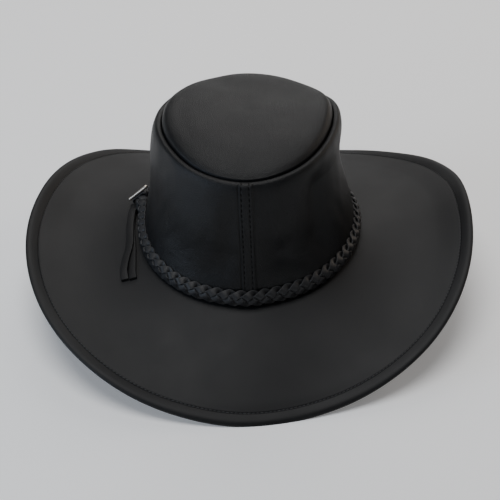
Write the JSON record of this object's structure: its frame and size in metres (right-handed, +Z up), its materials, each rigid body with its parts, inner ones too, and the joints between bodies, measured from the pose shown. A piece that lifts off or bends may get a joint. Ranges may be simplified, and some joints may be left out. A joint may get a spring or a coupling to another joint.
{
  "type": "leather cowboy hat",
  "caption": "Black leather cowboy hat with a puffed flat oval crown, a wide brim turned up at its sides and a plaited lace band with a small nickel slide.",
  "frame": {"origin": "centre of the hat's outline seen from above, on the floor that it rests on", "axes": "+Z up, +Y towards the wearer's front, +X towards the wearer's right; the lap seam is at the back, on the -Y side"},
  "size_m": [0.3562, 0.3664, 0.1577],
  "materials": {
    "brim_leather": "smooth black leather, nearly matte",
    "crown_leather": "soft black leather with a fine grain and a low gloss",
    "lace_leather": "smooth black lace with a low gloss",
    "nickel": "polished nickel wire"
  },
  "bodies": {
    "root": {"brim": "brim_leather", "crown_side": "crown_leather", "crown_tip": "crown_leather", "band_strand_1": "lace_leather", "band_strand_2": "lace_leather", "band_strand_3": "lace_leather", "band_tail_1": "lace_leather", "band_tail_2": "lace_leather", "band_buckle": "nickel"}
  },
  "joints": []
}
